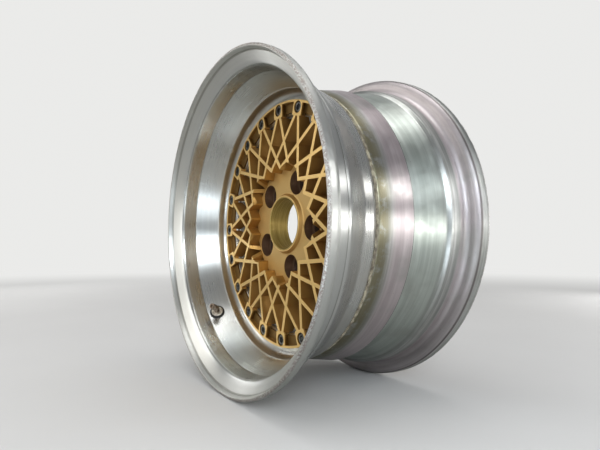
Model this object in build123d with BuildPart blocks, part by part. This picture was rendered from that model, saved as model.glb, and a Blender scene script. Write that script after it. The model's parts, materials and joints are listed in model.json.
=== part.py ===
from build123d import *
from math import atan2, cos, degrees, hypot, radians, sin, tan
import os

# Three-piece racing wheel rim, 15 inch by 7.5 J: a spun outer lip, a spun inner barrel
# and a mesh centre, held together by a ring of bolts through three flanges.
# Frame: origin on the spin axis at the hub mounting face, +Y inboard (the front of the
# wheel looks along -Y), +Z up. Angles about the spin axis run from +X towards +Z.

os.makedirs("parts", exist_ok=True)

# ---- Rim ---------------------------------------------------------------------------
rim_radius = 207.6  # outside of both flanges
bead_seat_radius = 190.1  # 15 inch bead seat at the heel
rim_width = 7.5 * 25.4  # between the two tyre faces
overall_width = 225.2
wall = 3.5  # spun sheet
tyre_face = rim_width / 2
flange_root_radius = bead_seat_radius - wall
curl_radius = 9.5  # tyre side of the flange
heel_radius = 6.0
edge_radius = 2.0
edge_bead = 3.4  # width of the narrow flat edge round each flange
groove_y = tyre_face + 10.4  # bottom of the groove beside that edge
edge_bead_flare = 3.0

# ---- Bolted joint ------------------------------------------------------------------
pattern_angle = 1.43  # turn of the whole bolt pattern from +X
bolt_count = 20
bolt_circle = 149.4
joint_face = -23.5  # where the lip and barrel flanges meet
lip_floor = joint_face - wall
barrel_flange_back = joint_face + wall
flange_bore_radius = 140.5
bolt_hole_radius = 4.25

# ---- Mesh centre -------------------------------------------------------------------
centre_radius = 158.4
tab_front = -34.6
tab_width = 20.0
tab_inner_radius = 138.4
tab_outer_radius = 157.6
ring_web_front = lip_floor - 1.8
ring_web_radius = 143.0
ring_rim = 3.0
counterbore_radius = 7.6
counterbore_depth = 5.4
rib_width = 4.8
rib_tip_radius = 71.3
rib_root_radius = rib_tip_radius - 8.0
rib_tip_front = -38.9
rib_outer_front = -34.2
rib_turn = 27.0  # how far round a rib runs between its bolt and its tip
rib_back_outer = -19.5
rib_back_inner = -5.0
hub_radius = 77.0
hub_front = -23.4
bore_radius = 33.55
bore_ring_radius = 36.6
bore_ring_flare = 3.0  # how much wider the ring is at its base
bore_ring_front = -28.6

# ---- Wheel studs -------------------------------------------------------------------
stud_count = 5
stud_circle = 114.3 / 2
stud_angle = 64.79
stud_hole_radius = 7.25
stud_pocket_radius = 15.8
stud_seat_radius = 11.0
stud_seat_depth = 12.0  # below the pad
stud_seat_half_angle = 30.0  # of the tapered seat
tool_cone_radius = 24.0  # clearance for the nut socket at the front of the ribs
pocket_length = 20.0  # between the end centres of a lightening pocket in the hub face
pocket_width = 15.0
pocket_depth = 10.0
pocket_circle = stud_circle + 1.0

# ---- Rim bolts ---------------------------------------------------------------------
bolt_radius = 4.0
head_radius = 6.5
head_height = 4.4
head_seat = tab_front + counterbore_depth
socket_flats = 7.5
socket_depth = 2.6
head_chamfer = 0.5
washer_radius = 8.0
washer_thickness = 1.6
nut_flats = 13.0
nut_height = 7.0
bolt_beyond_nut = 2.5
thread_clearance = 0.05

# ---- Valve -------------------------------------------------------------------------
valve_angle = 224.7
valve_y = -62.9
valve_hole_radius = 5.75
valve_nut_flats = 10.0
valve_washer_radius = 8.3
stem_radius = 3.85
stem_bend = 35.0
stem_bend_radius = 5.0
stem_neck = 9.0  # straight length above the wall, before the bend
stem_end = 10.0  # straight length after the bend
core_travel = 1.2  # how far the pin can be pressed in


def across(y):
    """Plane across the spin axis at y, facing the front, local x along X and local y along Z."""
    return Plane.XZ.offset(-y)


def rounded_outline(points):
    """Face in the current sketch from (radius, y, rounding) corners; rounding 0 stays sharp."""
    with BuildLine() as outline:
        Polyline([(r, y) for r, y, _ in points], close=True)
    make_face(outline.edges())
    for r, y, rounding in points:
        if rounding:
            corner = vertices().sort_by_distance((r, y, 0))[0]
            fillet(corner, rounding)


def flange_tyre_side(side):
    """Heel, curl and outer edge of the flange on one side (-1 front, 1 back)."""
    return [
        (bead_seat_radius, side * tyre_face, heel_radius),
        (rim_radius, side * tyre_face, curl_radius),
        (rim_radius, side * overall_width / 2, edge_radius),
    ]


def flange_air_side(side):
    """Narrow edge bead, groove and flare down to the inside of the bead seat."""
    return [
        (rim_radius - edge_bead, side * overall_width / 2, 1.0),
        (rim_radius - edge_bead - edge_bead_flare, side * groove_y, 1.6),
        (flange_root_radius, side * (tyre_face + 0.2), 7.0),
    ]


# ---- Outer lip ---------------------------------------------------------------------
# The dish wall runs straight from the bead seat shoulder to a small step. Below the step it
# stands nearly square on the floor.
shoulder_radius, shoulder_y = 185.1, -75.0
step_radius, step_y = 171.4, -43.0
slope = (shoulder_radius - step_radius) / (step_y - shoulder_y)
slope_length = hypot(1, slope)
outside_radius = wall * slope_length  # radial thickness of the sloping wall
foot_wall_radius = 170.8
foot_draft = 0.4
floor_fillet = 8.8

lip_outline = (
    flange_air_side(-1)
    + [
        (shoulder_radius, shoulder_y, 9.0),
        (step_radius, step_y, 0),
        (foot_wall_radius, step_y + 0.25, 0),
        (foot_wall_radius - foot_draft, lip_floor, floor_fillet),
        (flange_bore_radius, lip_floor, 0),
        (flange_bore_radius, joint_face, 0),
        (foot_wall_radius - foot_draft + wall, joint_face, 8.0),
        (foot_wall_radius + wall, step_y - 0.6, 12.0),
        (bead_seat_radius - 2.0, -70.8, 9.0),
    ]
    + flange_tyre_side(-1)
)


def wall_radius(y):
    """Inside radius of the sloping dish wall."""
    return step_radius + slope * (step_y - y)


valve_turn = radians(valve_angle)
valve_out = Vector(cos(valve_turn), 0, sin(valve_turn))
valve_point = valve_out * wall_radius(valve_y) + Vector(0, valve_y, 0)
valve_axis = (valve_out * -1 - Vector(0, slope, 0)).normalized()
valve_side = Vector(-sin(valve_turn), 0, cos(valve_turn))
valve_forward = valve_axis.cross(valve_side)
if valve_forward.Y > 0:
    valve_forward = valve_forward * -1
valve_plane = Plane(origin=valve_point, x_dir=valve_side, z_dir=valve_axis)
valve_section = Plane(
    origin=valve_point, x_dir=valve_side, z_dir=valve_side.cross(valve_axis)
)
valve_line = Axis(valve_point, valve_axis)

with BuildPart() as outer_lip:
    with BuildSketch(Plane.XY):
        rounded_outline(lip_outline)
    revolve(axis=Axis.Y)
    with BuildSketch(across(joint_face)):
        with PolarLocations(bolt_circle, bolt_count, start_angle=pattern_angle):
            Circle(bolt_hole_radius)
    extrude(amount=2 * wall, mode=Mode.SUBTRACT)
    with BuildSketch(valve_plane):
        Circle(valve_hole_radius)
    extrude(amount=3 * wall, both=True, mode=Mode.SUBTRACT)
outer_lip.part.label = "outer_lip"
export_step(outer_lip.part, "parts/outer_lip.step")

# ---- Inner barrel ------------------------------------------------------------------
# The band behind the joint widens to a sharp edge, drops into the well and climbs again
# to the rear bead seat.
band_start_radius = 171.8
band_end_radius, band_end_y = 179.5, 22.0
well_radius = 168.6
band_slope = (band_end_radius - band_start_radius) / (band_end_y - joint_face)

barrel_outline = (
    [
        (flange_bore_radius, barrel_flange_back, 0),
        (flange_bore_radius, joint_face, 0),
        (band_start_radius, joint_face, 5.0),
        (band_end_radius, band_end_y, 0.8),
        (well_radius + 1.0, band_end_y + 3.6, 2.5),
        (well_radius, band_end_y + 9.5, 8.0),
        (184.0, 69.0, 4.0),
        (bead_seat_radius - 1.9, 72.6, 3.0),
    ]
    + flange_tyre_side(1)
    + flange_air_side(1)
    + [
        (flange_root_radius - 1.8, 74.6, 3.0),
        (181.0, 71.4, 4.0),
        (well_radius - wall, band_end_y + 10.3, 8.0),
        (well_radius - wall + 0.6, band_end_y + 1.4, 5.0),
        (band_end_radius - 4.1, band_end_y - 2.4, 2.0),
        (band_start_radius - wall + band_slope * wall, barrel_flange_back, 2.0),
    ]
)

with BuildPart() as inner_barrel:
    with BuildSketch(Plane.XY):
        rounded_outline(barrel_outline)
    revolve(axis=Axis.Y)
    with BuildSketch(across(barrel_flange_back)):
        with PolarLocations(bolt_circle, bolt_count, start_angle=pattern_angle):
            Circle(bolt_hole_radius)
    extrude(amount=2 * wall, mode=Mode.SUBTRACT)
inner_barrel.part.label = "inner_barrel"
export_step(inner_barrel.part, "parts/inner_barrel.step")

# ---- Sealant in the groove between the two bends --------------------------------------
# A straight-sided wedge that just clears the rounds of both bends. It starts where the
# groove is wide enough to take sealant.
sealant_inner_radius = 169.6
sealant_outer_radius = 172.0

with BuildPart() as rim_sealant:
    with BuildSketch(Plane.XY):
        rounded_outline(
            [
                (sealant_inner_radius, joint_face - 0.55, 0),
                (sealant_outer_radius, joint_face - 2.4, 0),
                (sealant_outer_radius, joint_face + 2.2, 0),
                (sealant_inner_radius, joint_face + 0.04, 0),
            ]
        )
    revolve(axis=Axis.Y)
rim_sealant.part.label = "rim_sealant"
export_step(rim_sealant.part, "parts/rim_sealant.step")

# ---- Mesh centre -------------------------------------------------------------------
# Two straight ribs leave each bolt and run to tips on the hub; twenty pairs weave the mesh.
rib_end_x = rib_tip_radius * cos(radians(rib_turn))
rib_end_z = rib_tip_radius * sin(radians(rib_turn))
rib_length = hypot(bolt_circle - rib_end_x, rib_end_z)
rib_angle = degrees(atan2(rib_end_z, rib_end_x - bolt_circle))
front_clear = 45.0  # anything forward of every rib
rib_limit_radius = flange_bore_radius - 1.0

with BuildPart() as mesh_blank:
    # Ribs, cut to a shallow cone in front and a steeper one behind.
    with BuildSketch(across(rib_back_inner + 1)):
        with PolarLocations(0, bolt_count, start_angle=pattern_angle):
            for turn in (1, -1):
                with Locations(((bolt_circle + rib_end_x) / 2, turn * rib_end_z / 2)):
                    SlotCenterToCenter(rib_length, rib_width, rotation=turn * rib_angle)
    extrude(amount=front_clear)
    with BuildSketch(Plane.XY):
        with BuildLine():
            Polyline(
                (rib_root_radius, rib_tip_front),
                (rib_tip_radius, rib_tip_front),
                (tab_inner_radius, rib_outer_front),
                (bolt_circle, rib_outer_front),
                (bolt_circle, lip_floor),
                (rib_limit_radius, lip_floor),
                (rib_limit_radius, rib_back_outer),
                (hub_radius, rib_back_inner),
                (rib_root_radius, rib_back_inner),
                close=True,
            )
        make_face()
    revolve(axis=Axis.Y, mode=Mode.INTERSECT)

    # Flange ring with its raised rim, and the hub with the bore ring.
    with BuildSketch(Plane.XY):
        with BuildLine():
            Polyline(
                (ring_web_radius, lip_floor),
                (ring_web_radius, ring_web_front),
                (centre_radius - ring_rim, ring_web_front),
                (centre_radius - ring_rim, tab_front),
                (centre_radius, tab_front),
                (centre_radius, lip_floor),
                close=True,
            )
        make_face()
    revolve(axis=Axis.Y)
    with BuildSketch(Plane.XY):
        rounded_outline(
            [
                (bore_radius, 0, 0),
                (bore_radius, bore_ring_front, 0.6),
                (bore_ring_radius, bore_ring_front, 0.6),
                (bore_ring_radius + bore_ring_flare, hub_front, 2.0),
                (hub_radius, hub_front, 1.0),
                (hub_radius, -3.0, 2.0),
                (hub_radius - 4.0, 0, 1.0),
            ]
        )
    revolve(axis=Axis.Y)

    # A tab round each bolt.
    with BuildSketch(across(lip_floor)):
        tab_middle = (tab_inner_radius + tab_outer_radius) / 2
        with PolarLocations(tab_middle, bolt_count, start_angle=pattern_angle):
            RectangleRounded(tab_outer_radius - tab_inner_radius, tab_width, 3.0)
    extrude(amount=lip_floor - tab_front)
    with BuildSketch(across(head_seat)):
        with PolarLocations(bolt_circle, bolt_count, start_angle=pattern_angle):
            Circle(counterbore_radius)
    extrude(amount=front_clear, mode=Mode.SUBTRACT)
    with BuildSketch(across(0)):
        with PolarLocations(bolt_circle, bolt_count, start_angle=pattern_angle):
            Circle(bolt_hole_radius)
    extrude(amount=front_clear, mode=Mode.SUBTRACT)

# Stud hole, drawn once along its own axis: socket cone, pocket, tapered seat and bore.
stud_bottom = hub_front + stud_seat_depth
seat_end = stud_bottom + (stud_seat_radius - stud_hole_radius) / tan(radians(stud_seat_half_angle))
stud_turn = radians(stud_angle)
stud_centre = Vector(stud_circle * cos(stud_turn), 0, stud_circle * sin(stud_turn))

with BuildPart() as stud_cutter:
    with BuildSketch(Plane.XY):
        with BuildLine():
            Polyline(
                (0, 1.0),
                (stud_hole_radius, 1.0),
                (stud_hole_radius, seat_end),
                (stud_seat_radius, stud_bottom),
                (stud_pocket_radius, stud_bottom),
                (stud_pocket_radius, hub_front),
                (stud_pocket_radius + 1.5, hub_front),
                (tool_cone_radius, rib_tip_front),
                (tool_cone_radius + 1.0, -front_clear),
                (0, -front_clear),
                close=True,
            )
        make_face()
    revolve(axis=Axis.Y)

with BuildPart() as pocket_cutter:
    with BuildSketch(across(0)):
        SlotCenterToCenter(pocket_length, pocket_width, rotation=90)
    extrude(amount=pocket_depth)

with BuildPart() as mesh_centre:
    add(mesh_blank.part)
    for index in range(stud_count):
        turn = index * 360 / stud_count
        stud_spot = stud_centre.rotate(Axis.Y, -turn)
        add(stud_cutter.part.moved(Location(stud_spot)), mode=Mode.SUBTRACT)
        pocket_turn = stud_angle + turn + 180 / stud_count
        spot = Vector(pocket_circle, 0, 0).rotate(Axis.Y, -pocket_turn)
        placed = pocket_cutter.part.moved(Location(spot, (0, -pocket_turn, 0)))
        add(placed, mode=Mode.SUBTRACT)
mesh_centre.part.label = "mesh_centre"
export_step(mesh_centre.part, "parts/mesh_centre.step")

# ---- Rim bolts, washers and nuts -----------------------------------------------------
bolt_end = barrel_flange_back + washer_thickness + nut_height + bolt_beyond_nut

with BuildPart() as rim_bolts:
    with BuildSketch(across(bolt_end)):
        with PolarLocations(bolt_circle, bolt_count, start_angle=pattern_angle):
            Circle(bolt_radius)
    extrude(amount=bolt_end - head_seat)
    with BuildSketch(across(head_seat)):
        with PolarLocations(bolt_circle, bolt_count, start_angle=pattern_angle):
            Circle(head_radius)
    extrude(amount=head_height)
    chamfer(edges().group_by(Axis.Y)[0].filter_by(GeomType.CIRCLE), head_chamfer)
    with BuildSketch(across(head_seat - head_height)):
        with PolarLocations(bolt_circle, bolt_count, start_angle=pattern_angle):
            RegularPolygon(socket_flats / 2, 6, major_radius=False)
    extrude(amount=-socket_depth, mode=Mode.SUBTRACT)
rim_bolts.part.label = "rim_bolts"
export_step(rim_bolts.part, "parts/rim_bolts.step")

with BuildPart() as rim_washers:
    with BuildSketch(across(barrel_flange_back + washer_thickness)):
        with PolarLocations(bolt_circle, bolt_count, start_angle=pattern_angle):
            Circle(washer_radius)
            Circle(bolt_hole_radius, mode=Mode.SUBTRACT)
    extrude(amount=washer_thickness)
rim_washers.part.label = "rim_washers"
export_step(rim_washers.part, "parts/rim_washers.step")

nut_back = barrel_flange_back + washer_thickness + nut_height
with BuildPart() as rim_nuts:
    with BuildSketch(across(nut_back)):
        with PolarLocations(bolt_circle, bolt_count, start_angle=pattern_angle):
            RegularPolygon(nut_flats / 2, 6, major_radius=False)
            Circle(bolt_radius + thread_clearance, mode=Mode.SUBTRACT)
    extrude(amount=nut_height)
rim_nuts.part.label = "rim_nuts"
export_step(rim_nuts.part, "parts/rim_nuts.step")

# ---- Valve -------------------------------------------------------------------------
# Heights run along the valve axis from the dish side of the wall, which is at 0.
grommet_inner_radius = stem_radius + thread_clearance
grommet_radius = 10.4
grommet_top = 2.2
grommet_foot = -wall - grommet_top
grommet_foot_radius = grommet_radius + 0.6
washer_rim_top = grommet_top + 0.7
washer_top = grommet_top + 1.2
washer_crown_radius = valve_nut_flats / 2 + 1.1
valve_nut_top = washer_top + 1.6

with BuildPart() as valve_grommet:
    with BuildSketch(valve_section):
        rounded_outline(
            [
                (grommet_inner_radius, grommet_foot, 0),
                (grommet_foot_radius, grommet_foot, 0.8),
                (grommet_foot_radius, -wall / 2, 0),
                (grommet_radius, -wall / 2, 0),
                (grommet_radius, grommet_top, 1.0),
                (grommet_inner_radius, grommet_top, 0),
            ]
        )
    revolve(axis=valve_line)
    add(outer_lip.part, mode=Mode.SUBTRACT)
valve_grommet.part.label = "valve_grommet"
export_step(valve_grommet.part, "parts/valve_grommet.step")

with BuildPart() as valve_washer:
    with BuildSketch(valve_section):
        rounded_outline(
            [
                (grommet_inner_radius, grommet_top, 0),
                (valve_washer_radius, grommet_top, 0.3),
                (valve_washer_radius - 0.3, washer_rim_top, 0.3),
                (washer_crown_radius, washer_top, 0),
                (grommet_inner_radius, washer_top, 0),
            ]
        )
    revolve(axis=valve_line)
valve_washer.part.label = "valve_washer"
export_step(valve_washer.part, "parts/valve_washer.step")

with BuildPart() as valve_nut:
    with BuildSketch(valve_plane.offset(washer_top)):
        RegularPolygon(valve_nut_flats / 2, 6, major_radius=False)
        Circle(grommet_inner_radius, mode=Mode.SUBTRACT)
    extrude(amount=valve_nut_top - washer_top)
    chamfer(edges().filter_by(GeomType.LINE).group_by(SortBy.LENGTH)[-1], 0.25)
valve_nut.part.label = "valve_nut"
export_step(valve_nut.part, "parts/valve_nut.step")

# The stem runs along the valve axis, bends forward and ends in a straight threaded mouth.
foot_thickness = 2.4
foot_bottom = grommet_foot - foot_thickness
foot_radius = 9.0
air_passage_radius = 1.2
bend_turn = radians(stem_bend)
bend_start = valve_point + valve_axis * stem_neck
end_axis = valve_axis * cos(bend_turn) + valve_forward * sin(bend_turn)
bend_end = (
    bend_start
    + valve_axis * (stem_bend_radius * sin(bend_turn))
    + valve_forward * (stem_bend_radius * (1 - cos(bend_turn)))
)
stem_tip = bend_end + end_axis * stem_end
tip_plane = Plane(origin=stem_tip, x_dir=valve_side, z_dir=end_axis)
tip_section = Plane(origin=stem_tip, x_dir=valve_side, z_dir=valve_side.cross(end_axis))
tip_line = Axis(stem_tip, end_axis)
foot_plane = valve_plane.offset(foot_bottom)
chamber_radius = 2.4
chamber_depth = stem_end - 0.4

with BuildPart() as valve_stem:
    with BuildLine() as stem_path:
        Line(foot_plane.origin, bend_start)
        TangentArc(bend_start, bend_end, tangent=valve_axis)
        Line(bend_end, stem_tip)
    with BuildSketch(foot_plane):
        Circle(stem_radius)
    sweep(path=stem_path.wires()[0])
    with BuildSketch(foot_plane):
        Circle(foot_radius)
    extrude(amount=grommet_foot - foot_bottom)
    with BuildSketch(foot_plane):
        Circle(air_passage_radius)
    sweep(path=stem_path.wires()[0], mode=Mode.SUBTRACT)
    with BuildSketch(tip_plane):
        Circle(chamber_radius)
    extrude(amount=-chamber_depth, mode=Mode.SUBTRACT)
valve_stem.part.label = "valve_stem"
export_step(valve_stem.part, "parts/valve_stem.step")

# ---- Valve core: heights run along the mouth axis from the mouth, which is at 0 --------
pin_radius = 0.6
pin_top = -1.2
running_clearance = 0.06
core_top = -2.5
core_bottom = -7.0
core_bore_radius = 1.35
spring_top = -2.8
pocket_floor = spring_top - 2 * core_travel
collar_radius = 1.1
collar_top = spring_top + 0.4
seal_radius = 1.4
seal_thickness = 0.6
seal_bottom = core_bottom - seal_thickness
pin_bottom = seal_bottom - 0.1

with BuildPart() as valve_core_body:
    with BuildSketch(tip_section):
        rounded_outline(
            [
                (pin_radius + running_clearance, core_bottom, 0),
                (chamber_radius, core_bottom, 0),
                (chamber_radius, core_top, 0),
                (core_bore_radius, core_top, 0),
                (core_bore_radius, pocket_floor, 0),
                (pin_radius + running_clearance, pocket_floor, 0),
            ]
        )
    revolve(axis=tip_line)
valve_core_body.part.label = "valve_core_body"
export_step(valve_core_body.part, "parts/valve_core_body.step")

with BuildPart() as valve_core_pin:
    with BuildSketch(tip_section):
        rounded_outline(
            [
                (0, pin_bottom, 0),
                (pin_radius, pin_bottom, 0),
                (pin_radius, spring_top, 0),
                (collar_radius, spring_top, 0),
                (collar_radius, collar_top, 0),
                (pin_radius, collar_top, 0),
                (pin_radius, pin_top, 0.2),
                (0, pin_top, 0),
            ]
        )
    revolve(axis=tip_line)
valve_core_pin.part.label = "valve_core_pin"
export_step(valve_core_pin.part, "parts/valve_core_pin.step")

with BuildPart() as valve_core_seal:
    with BuildSketch(tip_section):
        rounded_outline(
            [
                (pin_radius, seal_bottom, 0),
                (seal_radius, seal_bottom, 0.15),
                (seal_radius, core_bottom, 0),
                (pin_radius, core_bottom, 0),
            ]
        )
    revolve(axis=tip_line)
valve_core_seal.part.label = "valve_core_seal"
export_step(valve_core_seal.part, "parts/valve_core_seal.step")

wire_radius = 0.13
coil_radius = 1.0
end_gap = 0.01  # between the wire and the faces it pushes on
coil_height = spring_top - pocket_floor - 2 * (wire_radius + end_gap)
coil_turns = 3.5
spring_plane = tip_plane.offset(pocket_floor + wire_radius + end_gap)

with BuildPart() as spring_blank:
    with BuildLine() as coil:
        Helix(pitch=coil_height / coil_turns, height=coil_height, radius=coil_radius)
    with BuildSketch(Plane(origin=coil.line @ 0, z_dir=coil.line % 0)):
        Circle(wire_radius)
    sweep(path=coil.line)
valve_core_spring = spring_blank.part.moved(spring_plane.location)
valve_core_spring.label = "valve_core_spring"
export_step(valve_core_spring, "parts/valve_core_spring.step")
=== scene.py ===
import math

import bmesh
import bpy
import numpy as np
from mathutils import Matrix, Vector, noise
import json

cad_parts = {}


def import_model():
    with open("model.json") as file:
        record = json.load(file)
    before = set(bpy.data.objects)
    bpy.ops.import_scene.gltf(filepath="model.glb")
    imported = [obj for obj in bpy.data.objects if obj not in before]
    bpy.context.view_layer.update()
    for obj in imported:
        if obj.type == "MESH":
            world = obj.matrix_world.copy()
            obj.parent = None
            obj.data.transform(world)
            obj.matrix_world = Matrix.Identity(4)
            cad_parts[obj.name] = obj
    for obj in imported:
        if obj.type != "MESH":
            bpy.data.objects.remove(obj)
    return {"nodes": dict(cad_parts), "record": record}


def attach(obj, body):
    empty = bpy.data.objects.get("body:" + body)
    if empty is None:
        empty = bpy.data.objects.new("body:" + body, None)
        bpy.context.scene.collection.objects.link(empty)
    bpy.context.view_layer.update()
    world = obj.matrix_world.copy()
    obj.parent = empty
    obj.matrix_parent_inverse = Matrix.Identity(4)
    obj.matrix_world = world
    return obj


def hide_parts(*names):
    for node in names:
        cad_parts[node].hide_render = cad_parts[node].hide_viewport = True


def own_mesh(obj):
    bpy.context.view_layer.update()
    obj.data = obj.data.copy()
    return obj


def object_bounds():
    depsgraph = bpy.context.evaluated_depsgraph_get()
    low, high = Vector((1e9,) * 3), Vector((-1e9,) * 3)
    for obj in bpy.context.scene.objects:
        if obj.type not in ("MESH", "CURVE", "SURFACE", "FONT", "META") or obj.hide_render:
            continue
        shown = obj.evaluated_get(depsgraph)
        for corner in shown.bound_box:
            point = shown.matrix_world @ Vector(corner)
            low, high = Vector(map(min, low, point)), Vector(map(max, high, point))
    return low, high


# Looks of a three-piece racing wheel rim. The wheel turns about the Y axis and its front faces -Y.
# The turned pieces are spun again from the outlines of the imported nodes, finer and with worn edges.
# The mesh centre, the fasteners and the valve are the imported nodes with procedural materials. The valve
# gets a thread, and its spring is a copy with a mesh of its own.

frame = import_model()
nodes = frame["nodes"]
cad_low, cad_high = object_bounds()

MM = 0.001
MERGE = 1e-6
WHEEL = "wheel"
TURNS = 480  # steps round a spun ring
CORNER = 0.35 * MM  # cut off each side of a sharp corner
SHARP = math.radians(32)  # a corner that turns further than this stays a corner
STRAIGHT = math.radians(4)  # a stretch that turns less than this needs no extra points
LONG = 2.5  # a stretch this many times its neighbour is a straight one

rim_radius = cad_high.x
half_width = cad_high.y
mounts = {mount["name"]: mount for mount in frame["record"]["mounts"]}
mouth = mounts["valve_mouth"]
studs = mounts["wheel_studs"]["dims"]
valve_hole_radius = 5.75 * MM
bolt_hole_radius = 4.25 * MM
hole_reach = 14 * MM  # of a drill, each way from the middle of a washer
stud_floor = -11.4 * MM  # where a stud hole narrows to its tapered seat
stud_pocket_radius = 15.8 * MM


# ---- Turned pieces -----------------------------------------------------------------


def seam_chains(node):
    """Chains of (radius, y) points along the seam of a turned node, where z is 0 and x positive."""
    mesh = bmesh.new()
    mesh.from_mesh(nodes[node].data)
    bmesh.ops.remove_doubles(mesh, verts=mesh.verts, dist=MERGE)
    on_seam = [v for v in mesh.verts if abs(v.co.z) < MERGE and v.co.x > 0]
    seam = set(on_seam)
    beside = {v: [e.other_vert(v) for e in v.link_edges if e.other_vert(v) in seam] for v in on_seam}
    chains = []
    while seam:
        ends = [v for v in on_seam if v in seam and len(beside[v]) < 2]
        chain = [ends[0] if ends else next(v for v in on_seam if v in seam)]
        seam.discard(chain[0])
        while True:
            ahead = [v for v in beside[chain[-1]] if v in seam]
            if not ahead:
                break
            chain.append(ahead[0])
            seam.discard(ahead[0])
        chains.append([Vector((v.co.x, v.co.y)) for v in chain])
    mesh.free()
    return chains


def outline_of(node):
    """Closed outline of a turned node. Flat rings and holes leave gaps, which run straight at one y."""
    chains = seam_chains(node)
    outline = chains.pop(0)
    while chains:
        end = outline[-1]
        joins = [
            (abs(chain[tip].y - end.y), (chain[tip] - end).length, number, tip)
            for number, chain in enumerate(chains)
            for tip in (0, -1)
        ]
        _, _, number, at = min(joins)
        chain = chains.pop(number)
        outline += chain if at == 0 else chain[::-1]
    return outline


def rounded(outline, step=1.6 * MM):
    """Finer points on the outline: rounds pass smoothly through their corners, and sharp
    corners get a small round of their own."""
    count = len(outline)
    ahead = [(outline[(i + 1) % count] - outline[i]) for i in range(count)]
    points = []
    for i in range(count):
        before, here, after = ahead[i - 1], ahead[i], ahead[(i + 1) % count]
        start, end = outline[i], outline[(i + 1) % count]
        leave = tangent(before, here)
        arrive = tangent(here, after)
        length = here.length
        trim_start = CORNER if leave is None else 0.0
        trim_end = CORNER if arrive is None else 0.0
        if leave is None or arrive is None:
            trim_start = min(trim_start, length / 3)
            trim_end = min(trim_end, length / 3)
        first = start + here.normalized() * trim_start
        last = end - here.normalized() * trim_end
        span = (last - first).length
        leave = (leave or here).normalized() * span
        arrive = (arrive or here).normalized() * span
        bends = leave.angle(arrive) > STRAIGHT
        pieces = max(1, round(span / step), 4 if bends else 1)
        for k in range(pieces + (1 if trim_end else 0)):
            points.append(hermite(first, last, leave, arrive, k / pieces))
    return points


def tangent(before, after):
    """Direction through the corner between two stretches, or None at a sharp corner. Next to a
    straight stretch it follows that stretch."""
    if before.angle(after) > SHARP:
        return None
    if before.length > LONG * after.length:
        return before.copy()
    if after.length > LONG * before.length:
        return after.copy()
    return before.normalized() * after.length + after.normalized() * before.length


def hermite(start, end, leave, arrive, t):
    """Point at t on the curve from start to end with the given end directions."""
    return (
        start * (2 * t**3 - 3 * t**2 + 1)
        + leave * (t**3 - 2 * t**2 + t)
        + end * (3 * t**2 - 2 * t**3)
        + arrive * (t**3 - t**2)
    )


def spin(name, outline, wear):
    """Ring spun from a closed outline about the Y axis. wear(radius, y, angle) returns how far
    a point is pushed in, as (radius, y)."""
    made = bmesh.new()
    rings = []
    for i in range(TURNS):
        angle = 2 * math.pi * i / TURNS
        ring = []
        for point in outline:
            shift = wear(point.x, point.y, angle)
            radius, y = point.x + shift[0], point.y + shift[1]
            ring.append(made.verts.new((radius * math.cos(angle), y, radius * math.sin(angle))))
        rings.append(ring)
    count = len(outline)
    for i in range(TURNS):
        ring, after = rings[i], rings[(i + 1) % TURNS]
        for k in range(count):
            made.faces.new((ring[k], ring[(k + 1) % count], after[(k + 1) % count], after[k]))
    bmesh.ops.recalc_face_normals(made, faces=made.faces)
    return finish_piece(name, made)


def finish_piece(name, made):
    """Smooth mesh object from a bmesh, in the scene."""
    data = bpy.data.meshes.new(name)
    made.to_mesh(data)
    made.free()
    for polygon in data.polygons:
        polygon.use_smooth = True
    piece = bpy.data.objects.new(name, data)
    bpy.context.scene.collection.objects.link(piece)
    return piece


def edge_wear(radius, y, angle):
    """Small nicks where tyre tools and kerbs touch the two outer edges."""
    worn_width, nick_depth, wave_depth = 3.5 * MM, 1.1 * MM, 0.08 * MM
    changes_round, changes_across = 40, 300
    reach = radius - (rim_radius - worn_width)
    if reach <= 0:
        return 0.0, 0.0
    share = min(1.0, reach / (3 * MM))
    round_x, round_z = math.cos(angle) * changes_round, math.sin(angle) * changes_round
    spot = Vector((round_x, round_z, y * changes_across))
    nick = max(0.0, noise.noise(spot) - 0.25) * nick_depth
    wave = (noise.noise(spot * 0.1) + 1) * wave_depth
    inward = -math.copysign(1.0, y)
    return -(nick + wave) * share, inward * nick * 0.6 * share


def squeezed(radius, y, angle):
    """Uneven surface of sealant squeezed from a joint by hand."""
    changes_round, swell, drift = 22, 0.7 * MM, 0.25 * MM
    spot = Vector((math.cos(angle) * changes_round, math.sin(angle) * changes_round, 0))
    return noise.noise(spot) * swell, noise.noise(spot * 1.7) * drift


# ---- Holes in the turned pieces ------------------------------------------------------


def rod(place, axis, radius, reach):
    """Cutter: a rod through place along axis, reaching reach each way."""
    sides = 32
    made = bmesh.new()
    turn = axis.to_track_quat("Z", "Y").to_matrix()
    rings = []
    for end in (-reach, reach):
        ring = []
        for i in range(sides):
            angle = 2 * math.pi * i / sides
            local = Vector((radius * math.cos(angle), radius * math.sin(angle), end))
            ring.append(made.verts.new(place + turn @ local))
        rings.append(ring)
    low_ring, high_ring = rings
    made.faces.new(low_ring[::-1])
    made.faces.new(high_ring)
    for i in range(sides):
        made.faces.new((low_ring[i], low_ring[(i + 1) % sides], high_ring[(i + 1) % sides], high_ring[i]))
    return made


def drill(piece, rods):
    """Takes the rods out of the piece and keeps the result as its mesh."""
    both = bmesh.new()
    for cutter in rods:
        data = bpy.data.meshes.new("cutter")
        cutter.to_mesh(data)
        cutter.free()
        both.from_mesh(data)
        bpy.data.meshes.remove(data)
    cutter = finish_piece("cutter", both)
    cut = piece.modifiers.new("holes", "BOOLEAN")
    cut.operation = "DIFFERENCE"
    cut.solver = "EXACT"
    cut.object = cutter
    solid = piece.evaluated_get(bpy.context.evaluated_depsgraph_get())
    data = bpy.data.meshes.new_from_object(solid)
    piece.modifiers.clear()
    piece.data = data
    bpy.data.objects.remove(cutter)


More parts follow.
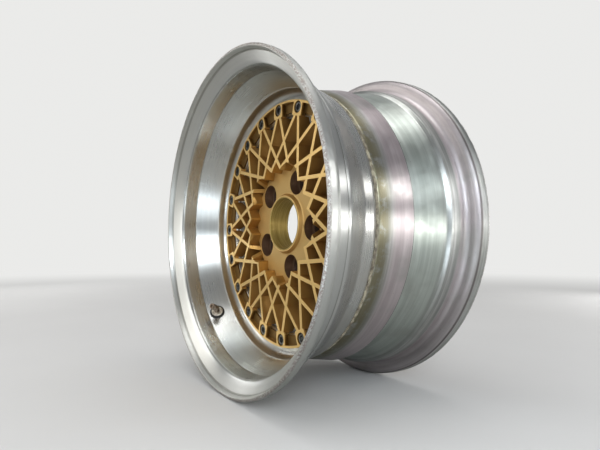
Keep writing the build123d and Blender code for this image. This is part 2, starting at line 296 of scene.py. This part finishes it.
def loose_centres(node):
    """Middle of each separate solid of a node."""
    mesh = bmesh.new()
    mesh.from_mesh(nodes[node].data)
    bmesh.ops.remove_doubles(mesh, verts=mesh.verts, dist=MERGE)
    left = set(mesh.verts)
    centres = []
    while left:
        reached = [left.pop()]
        for vert in reached:
            for edge in vert.link_edges:
                other = edge.other_vert(vert)
                if other in left:
                    left.discard(other)
                    reached.append(other)
        corners = [Vector(map(pick, zip(*(v.co for v in reached)))) for pick in (min, max)]
        centres.append((corners[0] + corners[1]) / 2)
    mesh.free()
    return centres


def flat_axis(node):
    """Middle and axis of a thin round node: the axis is the way it is thinnest."""
    points = np.array([v.co for v in nodes[node].data.vertices])
    middle = points.mean(axis=0)
    _, ways = np.linalg.eigh(np.cov((points - middle).T))
    return Vector(middle), Vector(ways[:, 0]).normalized()


def stud_turn():
    """Angle from +X of one stud hole, in radians, from the mesh at the holes' stepped floor."""
    points = np.array([v.co for v in nodes["mesh_centre"].data.vertices])
    x, _, z = points[np.abs(points[:, 1] - stud_floor) < 0.1 * MM].T
    return float(np.angle(np.mean(np.exp(1j * studs["count"] * np.arctan2(z, x)))) / studs["count"])


def turned_pieces():
    """Lip, barrel and sealant, drilled for the bolts and the valve."""
    bolts = loose_centres("rim_washers")
    valve_place, valve_axis = flat_axis("valve_washer")
    axis = Vector((0, 1, 0))
    lip = spin("outer_lip_turned", rounded(outline_of("outer_lip")), edge_wear)
    barrel = spin("inner_barrel_spun", rounded(outline_of("inner_barrel")), edge_wear)
    bead = spin("rim_sealant_bead", rounded(outline_of("rim_sealant"), step=0.5 * MM), squeezed)
    flange_holes = [(place, axis, bolt_hole_radius, hole_reach) for place in bolts]
    valve_hole = (valve_place, valve_axis, valve_hole_radius, hole_reach)
    drill(lip, [rod(*hole) for hole in flange_holes + [valve_hole]])
    drill(barrel, [rod(*hole) for hole in flange_holes])
    for piece, node in ((lip, "outer_lip"), (barrel, "inner_barrel"), (bead, "rim_sealant")):
        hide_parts(node)
        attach(piece, WHEEL)
    return lip, barrel, bead


# ---- Valve ---------------------------------------------------------------------------


def valve_thread():
    """Thread on the valve's mouth: one ridge wound along the end of the stem."""
    axis = Vector(mouth["axis"]).normalized()
    radius = mouth["dims"]["r_mm"] * MM
    pitch, ridge, length, steps = 0.8 * MM, 0.3 * MM, 8.0 * MM, 36
    foot, half_foot, plain_end = -0.05 * MM, 0.34 * pitch, 0.6 * MM
    turn = axis.to_track_quat("Z", "Y").to_matrix()
    end = Vector(mouth["pos_m"]) + axis * (mouth["dims"]["length_mm"] / 2 * MM - plain_end)
    made = bmesh.new()
    rows = []
    count = round(length / pitch * steps)
    for i in range(count + 1):
        angle = 2 * math.pi * i / steps
        fade = min(1.0, i / steps, (count - i) / steps)
        rise = -pitch * i / steps
        section = ((foot, -half_foot), (ridge * fade, 0.0), (foot, half_foot))
        row = []
        for out, along in section:
            x, y = (radius + out) * math.cos(angle), (radius + out) * math.sin(angle)
            row.append(made.verts.new(end + turn @ Vector((x, y, rise + along))))
        rows.append(row)
    for row, after in zip(rows, rows[1:]):
        for k in range(3):
            made.faces.new((row[k], row[(k + 1) % 3], after[(k + 1) % 3], after[k]))
    made.faces.new(rows[0])
    made.faces.new(rows[-1][::-1])
    bmesh.ops.recalc_face_normals(made, faces=made.faces)
    thread = finish_piece("valve_thread", made)
    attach(thread, WHEEL)
    return thread


def core_spring():
    """Copy of the core's spring, the part that shortens as the pin is pressed in, with a mesh of its own.
    """
    spring = bpy.data.objects.new("valve_spring_coil", nodes["valve_core_spring"].data.copy())
    bpy.context.scene.collection.objects.link(spring)
    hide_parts("valve_core_spring")
    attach(spring, WHEEL)
    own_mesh(spring)
    return spring


# ---- Shader nodes ------------------------------------------------------------------


class Graph:
    """Shader nodes of one material. An input takes a socket, a number or a colour."""

    def __init__(self, tree):
        self.tree = tree
        self.tree.nodes.clear()

    def node(self, kind, inputs=None, **settings):
        made = self.tree.nodes.new(kind)
        for key, value in settings.items():
            setattr(made, key, value)
        for key, value in (inputs or {}).items():
            self.feed(made.inputs[key], value)
        return made

    def feed(self, socket, value):
        if isinstance(value, bpy.types.NodeSocket):
            self.tree.links.new(value, socket)
        elif isinstance(value, (tuple, list)) and len(value) == 3 and socket.type == "RGBA":
            socket.default_value = (*value, 1.0)
        else:
            socket.default_value = value

    def math(self, operation, a, b=0.0):
        return self.node("ShaderNodeMath", {0: a, 1: b}, operation=operation).outputs[0]

    def add(self, a, b):
        return self.math("ADD", a, b)

    def times(self, a, b):
        return self.math("MULTIPLY", a, b)

    def ramp(self, value, low, high, out_low=0.0, out_high=1.0):
        """Smooth step of value from out_low at low to out_high at high."""
        return self.node(
            "ShaderNodeMapRange",
            {"Value": value, "From Min": low, "From Max": high, "To Min": out_low, "To Max": out_high},
            interpolation_type="SMOOTHSTEP",
        ).outputs[0]

    def band(self, value, low, high, soft):
        """1 between low and high, falling to 0 over soft on each side."""
        rise = self.ramp(value, low - soft, low)
        fall = self.ramp(value, high, high + soft, 1.0, 0.0)
        return self.times(rise, fall)

    def mix(self, factor, a, b):
        """Colour a where factor is 0, colour b where it is 1."""
        made = self.node("ShaderNodeMix", data_type="RGBA")
        self.feed(made.inputs[0], factor)
        self.feed(made.inputs[6], a)
        self.feed(made.inputs[7], b)
        return made.outputs[2]

    def noise(self, vector, scale, detail=4.0, roughness=0.55, w=None):
        inputs = {"Vector": vector, "Scale": scale, "Detail": detail, "Roughness": roughness}
        if w is None:
            return self.node("ShaderNodeTexNoise", inputs).outputs[0]
        made = self.node("ShaderNodeTexNoise", noise_dimensions="4D")
        for key, value in {**inputs, "W": w}.items():
            self.feed(made.inputs[key], value)
        return made.outputs[0]

    def bump(self, height, depth, normal=None):
        """Normal of a surface whose height from 0 to 1 stands for depth in metres."""
        inputs = {"Height": height, "Distance": depth, "Strength": 1.0}
        if normal is not None:
            inputs["Normal"] = normal
        return self.node("ShaderNodeBump", inputs).outputs[0]

    def finish(self, **values):
        """Principled surface with these inputs, joined to the output."""
        surface = self.node("ShaderNodeBsdfPrincipled")
        for key, value in values.items():
            self.feed(surface.inputs[key.replace("_", " ")], value)
        self.node("ShaderNodeOutputMaterial", {"Surface": surface.outputs[0]})


class Material(Graph):
    """Graph with the wheel's own coordinates in mm: point, radius, y, and streaks round the axis."""

    def __init__(self, name):
        self.material = bpy.data.materials.new(name)
        self.material.use_nodes = True
        super().__init__(self.material.node_tree)
        place = self.node("ShaderNodeTexCoord").outputs["Object"]
        scaled = self.node("ShaderNodeVectorMath", {0: place}, operation="SCALE")
        scaled.inputs["Scale"].default_value = 1 / MM
        self.point = scaled.outputs[0]
        parts = self.node("ShaderNodeSeparateXYZ", {0: self.point})
        self.x, self.y, self.z = parts.outputs
        squares = self.add(self.times(self.x, self.x), self.times(self.z, self.z))
        self.radius = self.math("SQRT", squares)
        self.cosine = self.math("DIVIDE", self.x, self.radius)
        self.sine = self.math("DIVIDE", self.z, self.radius)

    def from_stud(self):
        """Distance in mm from the axis of the nearest stud hole."""
        step = 2 * math.pi / studs["count"]
        angle = self.math("ARCTAN2", self.z, self.x)
        shifted = self.math("SUBTRACT", angle, stud_turn() - step / 2)
        nearest = self.math("SUBTRACT", self.math("FLOORED_MODULO", shifted, step), step / 2)
        along = self.times(self.radius, self.math("COSINE", nearest))
        aside = self.times(self.radius, self.math("SINE", nearest))
        off = self.math("SUBTRACT", along, studs["pcd_mm"] / 2)
        return self.math("SQRT", self.add(self.times(off, off), self.times(aside, aside)))

    def around(self):
        """Direction round the axis, for metal turned on a lathe."""
        return self.node("ShaderNodeTangent", direction_type="RADIAL", axis="Y").outputs[0]

    def streaks(self, across, around, detail=3.0):
        """Noise drawn out round the axis: across is lines per mm, around is changes per turn."""
        turned = {0: self.times(self.cosine, around), 1: self.times(self.sine, around)}
        turned[2] = self.times(self.radius, across)
        vector = self.node("ShaderNodeCombineXYZ", turned).outputs[0]
        return self.noise(vector, 1.0, detail, w=self.times(self.y, across))


def paint(piece, graph):
    """Puts the graph's material in every slot of a piece."""
    if not piece.data.materials:
        piece.data.materials.append(graph.material)
    for slot in piece.material_slots:
        slot.material = graph.material


# ---- Materials ---------------------------------------------------------------------


ACROSS_THE_LINES = 0.25  # quarter turn: the highlight spreads across lathe lines


def edge_scuff(g):
    """1 in the pits and scrapes along the two outermost edges of the rim."""
    beside = g.ramp(g.math("ABSOLUTE", g.y), half_width / MM - 4.0, half_width / MM - 1.0)
    edge = g.times(beside, g.ramp(g.radius, rim_radius / MM - 4.5, rim_radius / MM - 1.5))
    pits = g.ramp(g.noise(g.point, 0.55, 6.0, 0.7), 0.42, 0.56)
    return g.times(edge, pits)


def polished_aluminium():
    """Polished lip: fine turned lines, dull bloom, tan staining low in the dish, turned rings darkened with
    painted shade, scuffed outer edge.
    """
    g = Material("polished_aluminium")
    front = -half_width / MM
    fine = g.streaks(2.6, 1.5)
    broad = g.streaks(0.22, 1.2)
    bloom = g.noise(g.point, 0.02, 2.0)
    marks = g.ramp(g.noise(g.point, 0.45, 7.0, 0.75), 0.64, 0.70)
    flange = g.ramp(g.radius, rim_radius / MM - 20.6, rim_radius / MM - 11.6)
    shoulder_line = g.band(g.y, front + 37.2, front + 38.0, 0.5)
    heel_line = g.times(g.band(g.y, front + 17.2, front + 18.2, 0.5), g.ramp(g.radius, 188.9, 188.6))
    groove_line = g.times(g.band(g.radius, 200.9, 201.9, 0.4), g.ramp(g.y, front + 9.5, front + 9.0))
    rings = g.add(g.add(shoulder_line, heel_line), groove_line)
    scuff = edge_scuff(g)
    stain = g.times(g.ramp(g.y, front + 38.0, front + 76.0), g.ramp(bloom, 0.3, 0.65))
    colour = g.mix(broad, (0.79, 0.795, 0.765), (0.62, 0.625, 0.60))
    colour = g.mix(g.times(flange, 0.5), colour, (0.70, 0.70, 0.655))
    colour = g.mix(g.times(stain, 0.25), colour, (0.66, 0.59, 0.49))
    colour = g.mix(g.times(marks, 0.35), colour, (0.30, 0.27, 0.23))
    # Painted shade: the turned rings are darkened in colour, as the shade of small steps at the edges.
    colour = g.mix(g.times(rings, 0.4), colour, (0.22, 0.20, 0.17))
    colour = g.mix(g.times(scuff, 0.8), colour, (0.46, 0.39, 0.36))
    rough = g.add(0.22, g.times(fine, 0.08))
    rough = g.add(rough, g.times(flange, 0.11))
    rough = g.add(rough, g.times(g.ramp(bloom, 0.2, 0.8), 0.05))
    rough = g.add(rough, g.times(scuff, 0.30))
    normal = g.bump(g.add(g.times(fine, 0.012), g.times(rings, -1.0)), 0.22 * MM)
    normal = g.bump(g.times(g.add(scuff, g.times(marks, 0.2)), -1.0), 0.12 * MM, normal)
    g.finish(
        Base_Color=colour,
        Metallic=1.0,
        Roughness=rough,
        Anisotropic=0.6,
        Anisotropic_Rotation=ACROSS_THE_LINES,
        Tangent=g.around(),
        Normal=normal,
    )
    return g


def spun_aluminium():
    """Satin barrel: spinning lines, olive stains by the seam, pinkish band, a line of painted shade at the
    band's step, and an inside darkened by dust and by painted shade.
    """
    g = Material("spun_aluminium")
    back = half_width / MM
    fine = g.streaks(1.7, 2.0)
    broad = g.streaks(0.16, 1.6)
    bands = g.streaks(0.5, 0.5)
    cloud = g.noise(g.point, 0.018, 4.0)
    patch = g.noise(g.point, 0.06, 6.0, 0.65)
    marks = g.ramp(g.noise(g.point, 0.5, 6.0, 0.7), 0.66, 0.70)
    band_edge_shade = g.band(g.y, 21.4, 24.2, 0.3)
    grooves = g.times(g.ramp(g.y, 6.0, -18.0), g.ramp(g.streaks(0.8, 0.5), 0.5, 0.6))
    scuff = edge_scuff(g)
    seam = g.times(g.ramp(g.y, -2.0, -17.0), g.ramp(patch, 0.32, 0.52))
    pink = g.band(g.y, 2.0, 21.0, 12.0)
    green = g.band(g.y, 34.0, 62.0, 12.0)
    seat = g.ramp(g.y, back - 42.0, back - 36.0)
    mauve = g.band(g.y, back - 25.0, back - 13.5, 4.0)
    flange_line = g.band(g.y, back - 13.2, back - 12.0, 0.8)
    facing = g.node("ShaderNodeSeparateXYZ", {0: g.node("ShaderNodeNewGeometry").outputs["Normal"]}).outputs
    outward = g.add(g.times(facing[0], g.cosine), g.times(facing[2], g.sine))
    inside_dust_and_shade = g.times(g.ramp(outward, 0.0, -0.15), g.ramp(g.radius, 190.0, 182.0))
    colour = g.mix(g.ramp(broad, 0.3, 0.7), (0.74, 0.745, 0.72), (0.40, 0.405, 0.385))
    colour = g.mix(g.times(g.ramp(bands, 0.5, 0.66), 0.35), colour, (0.30, 0.30, 0.28))
    colour = g.mix(g.times(pink, 0.6), colour, (0.74, 0.62, 0.64))
    colour = g.mix(g.times(green, 0.55), colour, (0.63, 0.70, 0.63))
    # Painted shade: a near-black line at the step from the band down to the well.
    colour = g.mix(g.times(band_edge_shade, 0.9), colour, (0.06, 0.055, 0.05))
    colour = g.mix(g.times(grooves, 0.45), colour, (0.36, 0.32, 0.21))
    colour = g.mix(g.times(mauve, 0.55), colour, (0.70, 0.61, 0.63))
    colour = g.mix(g.times(g.ramp(cloud, 0.48, 0.68), 0.4), colour, (0.44, 0.45, 0.41))
    colour = g.mix(g.times(seam, 0.85), colour, (0.30, 0.27, 0.17))
    colour = g.mix(g.times(marks, 0.6), colour, (0.14, 0.13, 0.11))
    colour = g.mix(g.times(flange_line, 0.7), colour, (0.16, 0.14, 0.13))
    # Inside surfaces are darkened and dulled, partly as brake dust and partly as painted shade.
    colour = g.mix(g.times(inside_dust_and_shade, 0.8), colour, g.mix(patch, (0.17, 0.145, 0.12), (0.33, 0.29, 0.25)))
    colour = g.mix(g.times(scuff, 0.8), colour, (0.44, 0.38, 0.36))
    rough = g.add(0.27, g.times(fine, 0.13))
    rough = g.add(rough, g.times(g.ramp(patch, 0.4, 0.65), 0.08))
    rough = g.add(rough, g.times(seat, 0.12))
    rough = g.add(rough, g.times(g.add(scuff, inside_dust_and_shade), 0.25))
    normal = g.bump(fine, 0.008 * MM)
    normal = g.bump(g.times(g.add(scuff, g.times(marks, 0.3)), -1.0), 0.12 * MM, normal)
    g.finish(
        Base_Color=colour,
        Metallic=g.math("SUBTRACT", 1.0, g.times(inside_dust_and_shade, 0.45)),
        Roughness=rough,
        Anisotropic=0.5,
        Anisotropic_Rotation=ACROSS_THE_LINES,
        Tangent=g.around(),
        Normal=normal,
    )
    return g


def gold_paint():
    """Satin gold paint on the mesh: painted light that makes the fronts paler than the sides, painted shade
    in the cells and on the recessed web, dark stud holes with painted shade in their narrow ends.
    """
    g = Material("gold_paint")
    grain = g.noise(g.point, 1.5, 3.0)
    patch = g.noise(g.point, 0.05, 4.0)
    speck = g.ramp(g.noise(g.point, 0.8, 4.0, 0.7), 0.62, 0.72)
    facing = g.node("ShaderNodeNewGeometry")
    front = g.node("ShaderNodeSeparateXYZ", {0: facing.outputs["Normal"]}).outputs[1]
    front = g.ramp(g.times(front, -1.0), 0.35, 0.9)
    cell_shade = g.ramp(g.y, -34.0, -12.0)
    web_shade = g.times(g.band(g.radius, 140.0, 155.0, 0.6), g.ramp(g.y, -33.5, -32.0))
    rounded_normal = g.node("ShaderNodeBevel", {"Radius": 0.7 * MM}, samples=4).outputs[0]
    in_stud_hole = g.ramp(g.from_stud(), stud_pocket_radius / MM + 0.5, stud_pocket_radius / MM + 0.1)
    stud_hole = g.times(in_stud_hole, g.band(g.y, -22.4, -3.0, 0.8))
    stud_bottom_shade = g.times(stud_hole, g.ramp(g.y, stud_floor / MM - 0.3, stud_floor / MM + 0.3))
    bore = g.ramp(g.radius, 35.6, 34.6)
    turned = g.ramp(g.streaks(1.0, 0.8), 0.3, 0.7)
    # Painted light: faces turned to the front get the paler gold and the sides the darker, as the light
    # falls.
    colour = g.mix(front, (0.46, 0.25, 0.065), (0.86, 0.61, 0.26))
    colour = g.mix(g.times(patch, 0.3), colour, (0.66, 0.46, 0.20))
    # Painted shade: the gold darkens deeper into the cells.
    colour = g.mix(g.times(cell_shade, 0.65), colour, (0.17, 0.088, 0.024))
    # Painted shade: the recessed web behind the rim is coloured very dark.
    colour = g.mix(g.times(web_shade, 0.85), colour, (0.12, 0.065, 0.015))
    colour = g.mix(g.times(speck, 0.25), colour, (0.20, 0.13, 0.06))
    colour = g.mix(g.times(bore, 0.85), colour, g.mix(turned, (0.30, 0.215, 0.06), (0.52, 0.40, 0.14)))
    colour = g.mix(g.times(stud_hole, 0.75), colour, g.mix(patch, (0.16, 0.10, 0.075), (0.30, 0.20, 0.15)))
    # Painted shade: the narrow deep end of each stud hole is coloured near black.
    colour = g.mix(g.times(stud_bottom_shade, 0.8), colour, (0.045, 0.030, 0.025))
    rough = g.add(0.34, g.times(grain, 0.12))
    rough = g.add(rough, g.times(cell_shade, 0.14))
    rough = g.add(rough, g.times(bore, g.times(turned, -0.1)))
    normal = g.bump(g.times(bore, turned), 0.06 * MM, rounded_normal)
    normal = g.bump(grain, 0.03 * MM, normal)
    g.finish(Base_Color=colour, Metallic=0.62, Roughness=rough, Normal=normal)
    return g


def worn_metal(name, light, dark, roughness, grain_scale=0.9):
    """Plated or bare metal with darker grime in patches, lines of handling and rounded edges."""
    g = Material(name)
    grain = g.noise(g.point, grain_scale, 5.0, 0.65)
    patch = g.ramp(g.noise(g.point, grain_scale * 0.22, 4.0), 0.35, 0.68)
    rounded_normal = g.node("ShaderNodeBevel", {"Radius": 0.35 * MM}, samples=4).outputs[0]
    colour = g.mix(patch, light, dark)
    colour = g.mix(g.ramp(grain, 0.52, 0.7, 0.0, 0.5), colour, dark)
    rough = g.add(roughness, g.times(grain, 0.22))
    normal = g.bump(grain, 0.05 * MM, rounded_normal)
    g.finish(Base_Color=colour, Metallic=1.0, Roughness=rough, Normal=normal)
    return g


def soft_solid(name, light, dark, roughness, scale):
    """Rubber or sealant: matt, mottled, with a fine uneven skin."""
    g = Material(name)
    mottle = g.noise(g.point, scale, 5.0, 0.6)
    skin = g.noise(g.point, scale * 4, 3.0)
    colour = g.mix(g.ramp(mottle, 0.35, 0.65), light, dark)
    normal = g.bump(skin, 0.08 * MM)
    g.finish(Base_Color=colour, Roughness=g.add(roughness, g.times(mottle, 0.2)), Normal=normal)
    return g


bolt_steel = worn_metal("bolt_steel", (0.30, 0.30, 0.28), (0.12, 0.11, 0.10), 0.30)
zinc_steel = worn_metal("zinc_steel", (0.62, 0.62, 0.58), (0.36, 0.34, 0.29), 0.28)
valve_brass = worn_metal("valve_brass", (0.46, 0.39, 0.32), (0.19, 0.14, 0.10), 0.34, 1.6)
valve_plate = worn_metal("valve_plate", (0.80, 0.75, 0.66), (0.44, 0.38, 0.31), 0.36, 1.6)
spring_steel = worn_metal("spring_steel", (0.56, 0.56, 0.56), (0.34, 0.34, 0.34), 0.25, 2.5)
sealant = soft_solid("sealant", (0.34, 0.31, 0.23), (0.12, 0.10, 0.075), 0.5, 0.16)
black_rubber = soft_solid("black_rubber", (0.022, 0.021, 0.02), (0.05, 0.047, 0.042), 0.5, 0.5)

lip, barrel, bead = turned_pieces()
finishes = {
    "polished_aluminium": (polished_aluminium(), [lip]),
    "spun_aluminium": (spun_aluminium(), [barrel]),
    "gold_paint": (gold_paint(), []),
    "bolt_steel": (bolt_steel, []),
    "zinc_steel": (zinc_steel, []),
    "sealant": (sealant, [bead]),
    "valve_brass": (valve_brass, [valve_thread()]),
    "valve_plate": (valve_plate, []),
    "black_rubber": (black_rubber, []),
    "spring_steel": (spring_steel, [core_spring()]),
}
for slot_name, (graph, new_pieces) in finishes.items():
    for piece in new_pieces:
        paint(piece, graph)
for part in frame["record"]["subparts"]:
    paint(nodes[part["node"]], finishes[part["material_slot"]][0])


# ---- Floor, light and camera ---------------------------------------------------------

BACKDROP = (0.70, 0.70, 0.69)


def floor():
    """Pale floor under the two flanges, which runs into the backdrop far away. Polished metal
    mirrors it darker, so that its shape reads."""
    made = bmesh.new()
    half = 12.0
    corners = [(-half, -half), (half, -half), (half, half), (-half, half)]
    made.faces.new([made.verts.new((x, y, cad_low.z)) for x, y in corners])
    ground = finish_piece("floor", made)
    g = Material("floor_pale")
    shade = g.noise(g.point, 0.004, 3.0)
    path = g.node("ShaderNodeLightPath").outputs
    distance = g.math("SQRT", g.add(g.times(g.x, g.x), g.times(g.y, g.y)))
    far = g.times(path["Is Camera Ray"], g.ramp(distance, 700.0, 3200.0))
    pale = g.mix(shade, (0.66, 0.655, 0.645), (0.61, 0.605, 0.595))
    pale = g.mix(path["Is Glossy Ray"], pale, (0.36, 0.36, 0.355))
    g.finish(
        Base_Color=g.mix(far, pale, (0.0, 0.0, 0.0)),
        Roughness=0.8,
        Specular_IOR_Level=g.ramp(far, 0.0, 1.0, 0.5, 0.0),
        Emission_Color=BACKDROP,
        Emission_Strength=far,
    )
    paint(ground, g)


def softbox(name, place, size, power, colour=(1.0, 1.0, 1.0)):
    """Rectangular area light aimed at the middle of the wheel."""
    data = bpy.data.lights.new(name, "AREA")
    data.shape = "RECTANGLE"
    data.size, data.size_y = size
    data.energy = power
    data.color = colour
    light = bpy.data.objects.new(name, data)
    light.location = place
    light.rotation_mode = "QUATERNION"
    light.rotation_quaternion = (-Vector(place)).to_track_quat("-Z", "Y")
    bpy.context.scene.collection.objects.link(light)


def world():
    """Pale soft room, which polished metal mirrors darker towards the ground so that its shape reads."""
    made = bpy.data.worlds.new("studio")
    bpy.context.scene.world = made
    made.use_nodes = True
    g = Graph(made.node_tree)
    direction = g.node("ShaderNodeTexCoord").outputs["Generated"]
    up = g.node("ShaderNodeSeparateXYZ", {0: direction}).outputs[2]
    room = g.mix(g.ramp(up, -0.1, 0.9), (0.035, 0.037, 0.04), (0.26, 0.265, 0.275))
    path = g.node("ShaderNodeLightPath").outputs
    colour = g.mix(path["Is Glossy Ray"], (0.42, 0.42, 0.42), room)
    colour = g.mix(path["Is Camera Ray"], colour, BACKDROP)
    background = g.node("ShaderNodeBackground", {"Color": colour, "Strength": 1.0})
    g.node("ShaderNodeOutputWorld", {"Surface": background.outputs[0]})


def camera():
    """Camera just in front of the wheel and level with its lower half, looking slightly up."""
    data = bpy.data.cameras.new("camera")
    data.sensor_width = 36.0
    data.lens = 28.07
    data.clip_start = 0.01
    made = bpy.data.objects.new("camera", data)
    place = Vector((0.5180, -0.35325, -0.03268))
    azimuth, elevation = math.radians(55.85), math.radians(-2.88)
    level = math.cos(elevation)
    back = Vector((math.sin(azimuth) * level, -math.cos(azimuth) * level, math.sin(elevation)))
    right = Vector((0, 0, 1)).cross(back).normalized()
    up = back.cross(right)
    turn = Matrix((right, up, back)).transposed().to_4x4()
    made.matrix_world = Matrix.Translation(place) @ turn
    bpy.context.scene.collection.objects.link(made)
    bpy.context.scene.camera = made


floor()
world()
softbox("overhead", (0.1, -0.1, 1.7), (1.5, 0.8), 7.5)
softbox("front", (0.15, -1.9, 0.25), (0.9, 0.8), 4.6, (1.0, 0.99, 0.97))
softbox("front_left", (-0.9, -1.6, 0.9), (1.2, 1.2), 7, (1.0, 0.98, 0.95))
softbox("left", (-1.9, -0.4, 0.5), (1.2, 0.9), 4)
softbox("right_high", (1.45, -0.80, 0.62), (0.7, 0.5), 10, (0.84, 0.92, 1.0))
softbox("right_low", (0.95, -0.56, -0.14), (0.5, 0.12), 0.25, (0.80, 0.90, 1.0))
softbox("right_floor", (0.36, -0.30, -0.15), (0.3, 0.09), 0.2, (0.80, 0.90, 1.0))
softbox("right_slope", (1.60, 0.10, -0.08), (0.40, 0.22), 1.7, (0.98, 1.0, 0.98))
softbox("right_band", (1.35, 0.80, 0.60), (0.40, 0.20), 2.2)
softbox("back_right", (1.30, 0.90, 0.0), (0.45, 0.18), 2.0)
softbox("behind", (0.10, 1.70, 0.08), (0.6, 0.3), 4)
softbox("back_left", (-1.3, 1.1, 1.2), (1.0, 1.0), 0.7)
camera()

bpy.context.scene.view_settings.view_transform = "Standard"
bpy.context.scene.view_settings.look = "Medium High Contrast"
